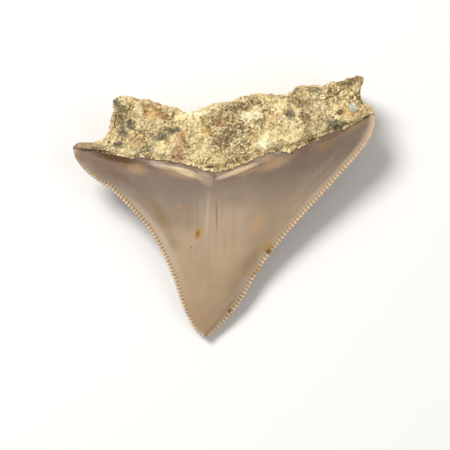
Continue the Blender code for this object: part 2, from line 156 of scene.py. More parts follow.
def makePath(points, steps=24):
    # a smooth curve through a few points, as a fine polyline with its running length
    knots = [Vector(point) for point in points]
    spans = [(b - a).length for a, b in zip(knots, knots[1:])]
    slopes = [(knots[1] - knots[0]) / spans[0]]
    for i in range(1, len(knots) - 1):
        slopes.append((knots[i + 1] - knots[i - 1]) / (spans[i - 1] + spans[i]))
    slopes.append((knots[-1] - knots[-2]) / spans[-1])
    line = [knots[0]]
    for i, span in enumerate(spans):
        for step in range(1, steps + 1):
            t = step / steps
            start = knots[i] * (1 - t) ** 2 * (1 + 2 * t)
            end = knots[i + 1] * t * t * (3 - 2 * t)
            bend = slopes[i] * span * t * (1 - t) ** 2 - slopes[i + 1] * span * t * t * (1 - t)
            line.append(start + end + bend)
    lengths = [0.0]
    for a, b in zip(line, line[1:]):
        lengths.append(lengths[-1] + (b - a).length)
    return {"line": line, "lengths": lengths, "length": lengths[-1]}


def pathSegment(path, share):
    distance = min(max(share, 0.0), 1.0) * path["length"]
    lengths = path["lengths"]
    low, high = 0, len(lengths) - 1
    while high - low > 1:
        middle = (low + high) // 2
        if lengths[middle] > distance:
            high = middle
        else:
            low = middle
    return low, (distance - lengths[low]) / (lengths[high] - lengths[low])


def pathPoint(path, share):
    i, t = pathSegment(path, share)
    return path["line"][i].lerp(path["line"][i + 1], t)


def pathDirection(path, share):
    i, _ = pathSegment(path, share)
    return (path["line"][i + 1] - path["line"][i]).normalized()


edges = {
    "left": {"path": makePath(tooth["leftEdge"]), "side": -1, "count": serrations["left"],
             "fade": serrations["leftFade"], "next": tooth["enamelEndLeft"][0]},
    "right": {"path": makePath(tooth["rightEdge"]), "side": 1, "count": serrations["right"],
              "fade": serrations["rightFade"], "next": tooth["enamelEndRight"][-1]},
}


def edgeName(column):
    return "left" if column < 0.0 else "right"


@lru_cache(maxsize=None)
def edgeInward(name, row):
    edge = edges[name]
    along = pathDirection(edge["path"], row)
    across = Vector((along.y, -along.x)) * -edge["side"]
    base = (Vector(edge["next"]) - pathPoint(edge["path"], 1.0)).normalized()
    return across.lerp(base, smoothstep(tooth["baseTurnFrom"], 1.0, row)).normalized()


def rampUp(least, low, high, value):
    # from least below low to 1 above high
    return least + (1.0 - least) * smoothstep(low, high, value)


def bandWidth(row):
    return tooth["edgeBand"] * rampUp(tooth["tipBandShare"], 0.0, tooth["tipTaper"], row)


@lru_cache(maxsize=None)
def serrationSize(name, row):
    edge = edges[name]
    number = math.floor(row * edge["count"])
    along, across, level = serrations["noiseSteps"]
    spot = Vector((number * along, edge["side"] * across, level))
    size = serrations["size"] + serrations["uneven"] * noise.noise(spot)
    fade = 1.0 - smoothstep(edge["fade"], serrations["fadeEnd"], row)
    return size * fade * rampUp(serrations["tipShare"], 0.0, serrations["tipReach"], row)


def bead(name, row):
    # 1 on a serration and 0 in the gap between two
    phase = (row * edges[name]["count"]) % 1.0
    return smoothstep(0.0, serrations["gap"], min(phase, 1.0 - phase))


@lru_cache(maxsize=None)
def bandPoint(name, inset, row):
    # inset is 0 on the cutting edge and 1 on the band's inner side
    notch = (1.0 - bead(name, row)) * serrationSize(name, row) * serrations["depth"]
    distance = inset * bandWidth(row) + notch * (1.0 - inset) ** 2
    return pathPoint(edges[name]["path"], row) + edgeInward(name, row) * distance


def bandRelief(name, inset, row):
    reach = 1.0 - smoothstep(serrations["reliefFrom"], 1.0, inset)
    level = bead(name, row) - serrations["reliefLevel"]
    return level * serrationSize(name, row) * serrations["relief"] * reach


enamelEndLeft = makePath((bandPoint("left", 1.0, 1.0),) + tooth["enamelEndLeft"] + (tooth["notch"],))
enamelEndRight = makePath((tooth["notch"],) + tooth["enamelEndRight"] + (bandPoint("right", 1.0, 1.0),))
rootLeft = makePath(tooth["rootLeft"])
rootRight = makePath(tooth["rootRight"])


@lru_cache(maxsize=None)
def enamelEnd(column):
    if abs(column) > 1.0:
        return bandPoint(edgeName(column), 2.0 - abs(column), 1.0)
    if column < 0.0:
        return pathPoint(enamelEndLeft, 1.0 + column)
    return pathPoint(enamelEndRight, column)


def outlineShare(column, length):
    band = tooth["edgeBand"] / length
    if abs(column) > 1.0:
        return band * (2.0 - abs(column))
    return band + (1.0 - band) * (1.0 - abs(column))


@lru_cache(maxsize=None)
def rootOutline(column):
    if column < 0.0:
        return pathPoint(rootLeft, outlineShare(column, rootLeft["length"]))
    return pathPoint(rootRight, 1.0 - outlineShare(column, rootRight["length"]))


def rimCalm(x):
    # the thin wings at the two shoulders are smoother than the thick root
    left = rampUp(rootRelief["wingShare"], *rootRelief["wingRim"], x - tooth["leftEdge"][-1][0])
    return left * smoothstep(0.0, rootRelief["rightRim"], tooth["rightEdge"][-1][0] - x)


def crownPoint(column, row):
    if abs(column) > 1.0:
        return bandPoint(edgeName(column), 2.0 - abs(column), row)
    share = (column + 1.0) / 2.0
    chord = bandPoint("left", 1.0, row).lerp(bandPoint("right", 1.0, row), share)
    baseChord = bandPoint("left", 1.0, 1.0).lerp(bandPoint("right", 1.0, 1.0), share)
    return chord + (enamelEnd(column) - baseChord) * row * row


def rootPoint(column, row, depthShare):
    # depthShare is 0 on the labial face and 1 on the lingual face
    height = row - 1.0
    top = rootOutline(column)
    inward = Vector(tooth["rootMiddle"]) - top
    inward.x *= tooth["sideLean"]
    thick = smoothstep(0.0, tooth["thickRoot"], backDepth(column, 2.0))
    crest = tooth["breakCrest"]
    front = tooth["breakRounding"] * max(0.0, 1.0 - depthShare / crest) ** 2 * height ** 4
    behind = max(0.0, (depthShare - crest) / (1.0 - crest))
    back = tooth["breakSlope"] * behind ** tooth["breakSlopePower"]
    spot = Vector((*top, rootRelief["raggedLayer"])) / rootRelief["raggedSize"]
    inset = (front + back) * thick
    inset += rootRelief["raggedHeight"] * noise.noise(spot) * rimCalm(top.x)
    return enamelEnd(column).lerp(top + inward.normalized() * inset, height)


@lru_cache(maxsize=None)
def rowWidth(row):
    left = pathPoint(edges["left"]["path"], row)
    return (pathPoint(edges["right"]["path"], row) - left).length / 2.0


def edgeDistance(column, row):
    width = rowWidth(row)
    band = bandWidth(row)
    if abs(column) > 1.0:
        return band * (2.0 - abs(column)), width
    return band + (width - band) * (1.0 - abs(column)), width


def crownDepth(column, row):
    distance, width = edgeDistance(column, row)
    share = min(distance / width, 1.0)
    swell = (1.0 - (1.0 - share) ** tooth["sideSwellPower"]) ** tooth["topSwellPower"]
    tip = tooth["tipThickness"]
    middle = tip + (tooth["crownThickness"] - tip) * row ** tooth["crownSwellPower"]
    return tooth["edgeDrop"] + tooth["edgeThickness"] + (middle - tooth["edgeThickness"]) * swell


def sideRise(column):
    # 0 on the thin wing at a shoulder and 1 on the thick root
    wing = tooth["leftWing"] if column < 0.0 else tooth["rightWing"]
    return smoothstep(*wing, outlineShare(column, rootLeft["length"]))


@lru_cache(maxsize=None)
def backDepth(column, row):
    if row <= 1.0:
        depth = crownDepth(column, row)
    else:
        distance, _ = edgeDistance(column, 1.0)
        wing = tooth["edgeThickness"] + tooth["edgeDrop"]
        wing += tooth["wingThickness"] * smoothstep(0.0, tooth["wingReach"], distance)
        broken = wing + (tooth["breakThickness"] - wing) * sideRise(column)
        depth = crownDepth(column, 1.0) * (2.0 - row) + broken * (row - 1.0)
    shift = tooth["torusShift"]
    middle = 1.0 - (abs(column - shift) / (2.0 + shift)) ** tooth["torusPower"]
    fromNeck = row - tooth["neckRow"] - tooth["neckRise"] * abs(column)
    neck = bell(fromNeck, tooth["neckWidth"]) * tooth["neckDepth"] * middle
    topLoss = tooth["torusTopLoss"] * smoothstep(*tooth["torusTopRows"], row)
    torus = smoothstep(*tooth["torusRows"], row) * (1.0 - topLoss)
    lean = 1.0 + tooth["torusLean"] * column
    return depth - neck + tooth["torusThickness"] * torus * middle * lean * sideRise(column)


def fromEnamelEnd(column, row):
    # millimetres below the enamel's end, along the column
    return (1.0 - row) * enamelEnd(column).length


def rolled(column):
    # the bulge under the enamel's end dies away towards both shoulders
    x = enamelEnd(column).x
    fading = smoothstep(*enamelRelief["rollFrom"], x) * (1.0 - smoothstep(*enamelRelief["rollTo"], x))
    least = enamelRelief["rollLeast"]
    return least + (1.0 - least) * fading


def crownHeight(column, row):
    relief = enamelRelief
    distance, width = edgeDistance(column, row)
    share = min(distance / width, 1.0)
    height = tooth["labialCrown"] * (1.0 - (1.0 - share) ** 2) * (1.0 - tooth["labialCrownLoss"] * row)
    height -= tooth["edgeDrop"] * (1.0 - smoothstep(0.0, tooth["edgeDropReach"], distance))
    fromFlute = distance * relief["fluteSlant"] - relief["fluteInset"]
    flute = bell(fromFlute, relief["fluteWidth"]) * smoothstep(*relief["fluteFrom"], row)
    height -= relief["fluteDepth"] * flute * (1.0 - smoothstep(*relief["fluteTo"], row))
    below = fromEnamelEnd(column, row)
    roll = relief["rollHeight"] * bell(below - relief["rollInset"], relief["rollWidth"])
    groove = relief["grooveDepth"] * bell(below, relief["grooveWidth"])
    height += (roll - groove) * smoothstep(*relief["calmRim"], distance) * rolled(column)
    fold = bell(column * width, relief["foldWidth"]) * smoothstep(relief["foldFrom"], 1.0, row)
    height -= relief["foldDepth"] * fold
    if abs(column) > 1.0:
        height += bandRelief(edgeName(column), 2.0 - abs(column), row)
    return height


@lru_cache(maxsize=None)
def frontHeight(column, row):
    if row <= 1.0:
        return crownHeight(column, row)
    relief = rootRelief
    share = row - 1.0
    rise = relief["rise"] * smoothstep(0.0, relief["riseRows"], share) - relief["fall"] * share * share
    inside = smoothstep(0.0, relief["riseRim"], edgeDistance(column, 1.0)[0])
    return crownHeight(column, 1.0) + rise * inside


@lru_cache(maxsize=None)
def place(column, row, side):
    # from the block's column, row and side to the tooth's flat frame
    depthShare = (1.0 - side) / 2.0
    flat = crownPoint(column, row) if row <= 1.0 else rootPoint(column, row, depthShare)
    front = frontHeight(column, row)
    back = -backDepth(column, row)
    return Vector((flat.x, flat.y, front + (back - front) * depthShare))


def cutBlock(mesh, axis, values):
    normal = Vector((0.0, 0.0, 0.0))
    normal[axis] = 1.0
    for value in values:
        geometry = mesh.verts[:] + mesh.edges[:] + mesh.faces[:]
        bmesh.ops.bisect_plane(mesh, geom=geometry, plane_co=normal * value, plane_no=normal)


def edgeIsLong(edge):
    start, end = (vertex.co for vertex in edge.verts)
    middle = (start + end) / 2.0
    alongTooth = abs(start.y - end.y) > meshing["level"]
    if abs(middle.x) > meshing["bandFrom"] and middle.y < 1.0 and alongTooth:
        return False    # the serrations cut these
    onFront = middle.z > meshing["onEnd"]
    if middle.y > meshing["onEnd"]:
        facet = meshing["labialRootFacet"] if onFront else meshing["rootFacet"]
    elif middle.y > meshing["enamelEndFrom"] and onFront:
        facet = meshing["enamelEndFacet"]
    else:
        facet = meshing["crownFacet"]
    return (place(*start) - place(*end)).length > facet


def refine(mesh):
    for _ in range(meshing["rounds"]):
        longEdges = [edge for edge in mesh.edges if edgeIsLong(edge)]
        bmesh.ops.subdivide_edges(mesh, edges=longEdges, cuts=1, use_grid_fill=True,
                                  use_single_edge=True)


def cutSerrations(mesh, name):
    side = edges[name]["side"]
    cut = []
    for edge in mesh.edges:
        start, end = (vertex.co for vertex in edge.verts)
        inBand = min(start.x * side, end.x * side) > meshing["bandFrom"]
        inCrown = max(start.y, end.y) < 1.0 + meshing["level"]
        if inBand and inCrown and abs(start.y - end.y) > meshing["level"]:
            cut.append(edge)
    cuts = edges[name]["count"] * serrations["stations"] // meshing["crownRows"] - 1
    bmesh.ops.subdivide_edges(mesh, edges=cut, cuts=cuts, use_grid_fill=True,
                              use_single_edge=True)


def grains(point, size):
    # one layer of cemented grains: how far out a point stands, from -1 to 1, and its grain's tone
    distances, middles = noise.voronoi(point / size)
    dome = smoothstep(0.0, rootRelief["creaseWidth"], distances[1] - distances[0]) - 0.5
    tone = noise.cell(middles[0])
    return dome * rootRelief["domeShare"] + (tone - 0.5) * rootRelief["toneShare"], tone


def rootLumps(point, onFront):
    relief = rootRelief
    height = relief["lumpHeight"] * noise.noise(point / relief["lumpSize"])
    offset = Vector((relief["gritOffset"], 0.0, 0.0))
    height += relief["gritHeight"] * noise.noise(point / relief["gritSize"] + offset)
    if onFront:
        for x, y, radius, lump in relief["labialLumps"]:
            height += lump * bell(math.dist((point.x, point.y), (x, y)), radius)
    else:
        fromPatch = math.dist((point.x, point.y), tooth["wornPatch"])
        height *= smoothstep(*tooth["wornPatchReach"], fromPatch)
        hole = bell(math.dist((point.x, point.y), relief["foramen"]), relief["foramenRadius"])
        height -= relief["foramenDepth"] * hole
    return height


# The crust of rock, and how far it laps over the enamel's end. Lobes are x, y, radius and lap.
crust = {
    "lap": -0.05, "ragged": 0.45, "raggedSize": 0.8, "step": 0.2, "softness": 0.1,
    "firstRow": 0.8, "backRows": (0.93, 1.05),
    "faceShare": 0.5,    # a face with more crust than this takes the rock's material
    "lobes": ((17.3, 29.9, 0.9, 0.85), (9.6, 28.9, 1.2, 0.2), (20.9, 30.9, 0.7, 0.25),
              (26.6, 32.7, 1.0, 0.25)),
}


def belowCrust(point, block):
    # millimetres below the ragged edge of the crust, and negative under it
    column, row, side = block
    if side <= 0.0 or row < crust["firstRow"]:
        return fromEnamelEnd(column, row)
    if row >= 1.0:
        return -1.0
    reach = crust["lap"] + crust["ragged"] * noise.noise(point / crust["raggedSize"])
    for x, y, radius, lap in crust["lobes"]:
        reach += lap * bell(math.dist((point.x, point.y), (x, y)), radius)
    return fromEnamelEnd(column, row) - reach


def crustShare(below, block):
    # 0 on bare enamel and 1 where the crust of rock covers the tooth
    if block.z <= 0.0:
        return smoothstep(*crust["backRows"], block.y)
    return 1.0 - smoothstep(-crust["softness"], crust["softness"], below)


def roughenRoot(mesh, blocks):
    # pushes the surface in and out; returns each point's crust, its distance below the crust's
    # edge, its hollowness and its grain's tone
    mesh.normal_update()
    relief = rootRelief
    pushes = []
    marks = []
    for vertex, block in zip(mesh.verts, blocks):
        _, row, side = block
        onFront = side > 0.0
        below = belowCrust(vertex.co, block)
        share = crustShare(below, block)
        push = 0.0
        fine = 0.0
        tone = 0.5
        if share > 0.0:
            start = relief["frontFrom"] if onFront else relief["backFrom"]
            push = smoothstep(start, start + relief["ramp"], row) * rootLumps(vertex.co, onFront)
            push *= smoothstep(0.0, relief["leftCalm"], vertex.co.x - tooth["leftEdge"][-1][0])
            push *= smoothstep(0.0, relief["rightCalm"], tooth["rightEdge"][-1][0] - vertex.co.x)
            coarse, coarseTone = grains(vertex.co, relief["grainSize"])
            sandy, sandTone = grains(vertex.co, relief["sandSize"])
            fine = relief["grainHeight"] * coarse + relief["sandHeight"] * sandy
            fine *= share * rimCalm(vertex.co.x)
            tone = coarseTone + (sandTone - coarseTone) * relief["sandTone"]
            if onFront and row < 1.0:
                push += crust["step"] * share
        pushes.append(push + fine)
        marks.append((share, below, max(0.0, -fine), tone))
    for vertex, push in zip(mesh.verts, pushes):
        vertex.co += vertex.normal * push
    return marks


def restOnFloor(mesh):
    # pitched, set down on its tip, and worn flat where it would pass the frame's own box
    bmesh.ops.rotate(mesh, verts=mesh.verts, cent=(0.0, 0.0, 0.0),
                     matrix=Matrix.Rotation(tooth["restPitch"], 3, "X"))
    floor = min(vertex.co.z for vertex in mesh.verts if vertex.co.y < tooth["tipLength"])
    low = Vector(cadLow) / metresPerMm
    high = Vector(cadHigh) / metresPerMm
    lowX = min(vertex.co.x for vertex in mesh.verts)
    lowY = min(vertex.co.y for vertex in mesh.verts)
    move = low - Vector((lowX, lowY, floor))
    bmesh.ops.translate(mesh, verts=mesh.verts, vec=move)
    for vertex in mesh.verts:
        for axis in range(3):
            vertex.co[axis] = min(max(vertex.co[axis], low[axis]), high[axis])
    return move


def buildTooth():
    # the block's columns run from -2 at the left edge to 2 at the right one, its rows from 0 at
    # the tip to 2 at the broken top, and its sides are -1, lingual, and 1, labial
    mesh = bmesh.new()
    bmesh.ops.create_cube(mesh, size=2.0)
    bmesh.ops.scale(mesh, verts=mesh.verts, vec=(2.0, 1.0, 1.0))
    bmesh.ops.translate(mesh, verts=mesh.verts, vec=(0.0, 1.0, 0.0))
    cutBlock(mesh, 0, meshing["columns"])
    cutBlock(mesh, 1, [row / meshing["crownRows"] for row in range(1, meshing["crownRows"])])
    cutBlock(mesh, 1, meshing["rootRows"])
    refine(mesh)
    cutSerrations(mesh, "left")
    cutSerrations(mesh, "right")
    print("tooth block refined:", len(mesh.faces), "faces")

    mesh.verts.index_update()
    blocks = [vertex.co.copy() for vertex in mesh.verts]
    for vertex, block in zip(mesh.verts, blocks):
        vertex.co = place(*block)
    marks = roughenRoot(mesh, blocks)

    # what the materials read: the place in the flat frame, and where on the tooth it is
    faceLayer = mesh.verts.layers.float_vector.new("face")
    names = ("row", "rim", "belowCrust", "gap", "labial", "hollow", "tone")
    layers = {name: mesh.verts.layers.float.new(name) for name in names}
    for vertex, block, (_, below, hollow, tone) in zip(mesh.verts, blocks, marks):
        column, row, side = block
        crownRow = min(row, 1.0)
        name = edgeName(column)
        vertex[faceLayer] = vertex.co
        vertex[layers["row"]] = row
        vertex[layers["rim"]] = edgeDistance(column, crownRow)[0]
        vertex[layers["belowCrust"]] = below
        vertex[layers["gap"]] = (1.0 - bead(name, crownRow)) * min(serrationSize(name, crownRow), 1.0)
        vertex[layers["labial"]] = (side + 1.0) / 2.0
        vertex[layers["hollow"]] = hollow
        vertex[layers["tone"]] = tone
    for face in mesh.faces:
        crusted = sum(marks[vertex.index][0] for vertex in face.verts) / len(face.verts)
        face.material_index = 1 if crusted > crust["faceShare"] else 0
        face.smooth = True
    move = restOnFloor(mesh)
    bmesh.ops.scale(mesh, verts=mesh.verts, vec=(metresPerMm,) * 3)
    bmesh.ops.triangulate(mesh, faces=mesh.faces[:])

    data = bpy.data.meshes.new("fossilTooth")
    mesh.to_mesh(data)
    mesh.free()
    piece = bpy.data.objects.new("fossilTooth", data)
    bpy.context.scene.collection.objects.link(piece)
    print("tooth made:", len(data.polygons), "triangles")
    return piece, move


def paint(red, green, blue):
    # a colour as it looks on screen, 0 to 255, as the shader wants it
    linear = []
    for value in (red, green, blue):
        share = value / 255.0
        linear.append(share / 12.92 if share <= 0.04045 else ((share + 0.055) / 1.055) ** 2.4)
    return (*linear, 1.0)


def addNode(tree, kind, inputs=None, **settings):
    made = tree.nodes.new(kind)
    for name, value in settings.items():
        setattr(made, name, value)
    for name, value in (inputs or {}).items():
        if isinstance(value, bpy.types.NodeSocket):
            tree.links.new(value, made.inputs[name])
        else:
            made.inputs[name].default_value = value
    return made


def calculate(tree, operation, first, second=0.0):
    return addNode(tree, "ShaderNodeMath", {0: first, 1: second}, operation=operation).outputs[0]


def times(tree, *values):
    product = values[0]
    for value in values[1:]:
        product = calculate(tree, "MULTIPLY", product, value)
    return product


def onVector(tree, operation, first, second=(0.0, 0.0, 0.0)):
    return addNode(tree, "ShaderNodeVectorMath", {0: first, 1: second}, operation=operation).outputs[0]


def between(tree, value, low, high, start=0.0, end=1.0):
    # a soft ramp: start below low, end above high
    made = addNode(tree, "ShaderNodeMapRange", {"Value": value, "From Min": low, "From Max": high,
                                                "To Min": start, "To Max": end},
                   interpolation_type="SMOOTHSTEP")
    return made.outputs[0]


def blend(tree, share, first, second, kind="MIX"):
    made = addNode(tree, "ShaderNodeMix", {0: share, 6: first, 7: second},
                   data_type="RGBA", blend_type=kind, clamp_factor=True)
    return made.outputs[2]


def lay(tree, colour, share, overlay):
    # an overlay is its colour and how strongly it is laid on
    shade, strength = overlay
    return blend(tree, times(tree, share, strength), colour, paint(*shade))


def zone(tree, signals, ramps):
    # where all of its soft ramps are high; a ramp is a signal's name and what between() takes
    return times(tree, *[between(tree, signals[name], *span) for name, *span in ramps])


def newGroup(name, **inputs):
    group = bpy.data.node_groups.new(name, "ShaderNodeTree")
    for title, kind in inputs.items():
        group.interface.new_socket(name=title, in_out="INPUT", socket_type="NodeSocket" + kind)
    group.interface.new_socket(name="Value", in_out="OUTPUT", socket_type="NodeSocketFloat")
    return group, group.nodes.new("NodeGroupInput").outputs


def closeGroup(group, value):
    group.links.new(value, group.nodes.new("NodeGroupOutput").inputs["Value"])
    return group


noiseScale = 0.5                   # a noise of this scale has blotches about one unit wide
offsetShares = (1.0, 0.7, 0.3)     # how far an offset moves a noise along each axis


def makeGrainGroup():
    # noise that is scaled along each axis and moved
    group, given = newGroup("drawnOutNoise", Place="Vector", Scales="Vector", Offset="Vector",
                            Detail="Float", Roughness="Float")
    moved = onVector(group, "ADD", onVector(group, "MULTIPLY", given["Place"], given["Scales"]),
                     given["Offset"])
    cloudy = addNode(group, "ShaderNodeTexNoise", {
        "Vector": moved, "Scale": noiseScale, "Detail": given["Detail"],
        "Roughness": given["Roughness"]})
    return closeGroup(group, cloudy.outputs[0])


def makeStainAndLightGroup():
    # a ragged oval mark, longer along its turned first axis: its strength inside, 0 outside
    group, given = newGroup("raggedStainAndLight", Place="Vector", Warp="Vector", Middle="Vector",
                            Reach="Vector", Turn="Float", Ragged="Float", Softness="Float",
                            Strength="Float")
    shift = addNode(group, "ShaderNodeVectorMath", {0: given["Warp"], "Scale": given["Ragged"]},
                    operation="SCALE").outputs[0]
    offset = onVector(group, "SUBTRACT", onVector(group, "ADD", given["Place"], shift),
                      given["Middle"])
    turned = addNode(group, "ShaderNodeVectorRotate", {"Vector": offset, "Angle": given["Turn"]},
                     rotation_type="Z_AXIS").outputs[0]
    scaled = onVector(group, "DIVIDE", turned, given["Reach"])
    distance = addNode(group, "ShaderNodeVectorMath", {0: scaled}, operation="LENGTH").outputs["Value"]
    inner = calculate(group, "SUBTRACT", 1.0, given["Softness"])
    outer = calculate(group, "ADD", 1.0, given["Softness"])
    mask = between(group, distance, inner, outer, 1.0, 0.0)
    return closeGroup(group, times(group, mask, given["Strength"]))


grainGroup = makeGrainGroup()
stainAndLightGroup = makeStainAndLightGroup()
markDepth = 30.0                  # a mark's reach through the tooth: only its outline counts
markWarp = {"Scale": 1.1, "Detail": 4.0}


def grain(tree, where, size, detail=3.0, roughness=0.55, offset=0.0, stretch=(1.0, 1.0, 1.0)):
    # noise whose blotches are about size millimetres, drawn out by stretch
    inputs = {"Place": where, "Scales": [1.0 / (size * share) for share in stretch],
              "Offset": [offset * share for share in offsetShares],
              "Detail": detail, "Roughness": roughness}
    return addNode(tree, "ShaderNodeGroup", inputs, node_tree=grainGroup).outputs[0]


def addStainsAndPaintedLight(tree, colour, where, share, look):
    # share is how much of the stains and painted light shows, from 0 to 1
    rough = addNode(tree, "ShaderNodeTexNoise", {"Vector": where, **markWarp}).outputs["Color"]
    warp = onVector(tree, "SUBTRACT", rough, (0.5, 0.5, 0.5))
    for x, y, long, wide, turn, pigment in look["stainsAndPaintedLight"]:
        pigmentColour, ragged, softness, strength = look["pigments"][pigment]
        inputs = {"Place": where, "Warp": warp, "Middle": (x, y, 0.0),
                  "Reach": (long, wide, markDepth), "Turn": -math.radians(turn),
                  "Ragged": ragged, "Softness": softness, "Strength": strength}
        mark = addNode(tree, "ShaderNodeGroup", inputs, node_tree=stainAndLightGroup)
        mask = times(tree, mark.outputs["Value"], share)
        colour = blend(tree, mask, colour, paint(*pigmentColour))
    return colour


def rowColours(tree, row, stops):
    ramp = addNode(tree, "ShaderNodeValToRGB", {"Fac": row})
    elements = ramp.color_ramp.elements
    for i, (position, colour) in enumerate(stops):
        element = elements[i] if i < 2 else elements.new(position)
        element.position = position
        element.color = paint(*colour)
    return ramp.outputs["Color"]


def newMaterial(name):
    material = bpy.data.materials.new(name)
    material.use_nodes = True
    tree = material.node_tree
    return material, tree, tree.nodes["Principled BSDF"]


def readTooth(tree, *names):
    # the mesh's own values: the place in the flat frame, and the named ones
    def read(name, output):
        return addNode(tree, "ShaderNodeAttribute", attribute_name=name).outputs[output]

    flat = read("face", "Vector")
    signals = {name: read(name, "Fac") for name in names}
    parts = addNode(tree, "ShaderNodeSeparateXYZ", {"Vector": flat}).outputs
    signals["across"] = parts["X"]
    return flat, parts, signals


def addBump(tree, shader, height, strength, distance):
    bump = addNode(tree, "ShaderNodeBump", {"Height": height, "Strength": strength,
                                            "Distance": distance * metresPerMm})
    tree.links.new(bump.outputs["Normal"], shader.inputs["Normal"])


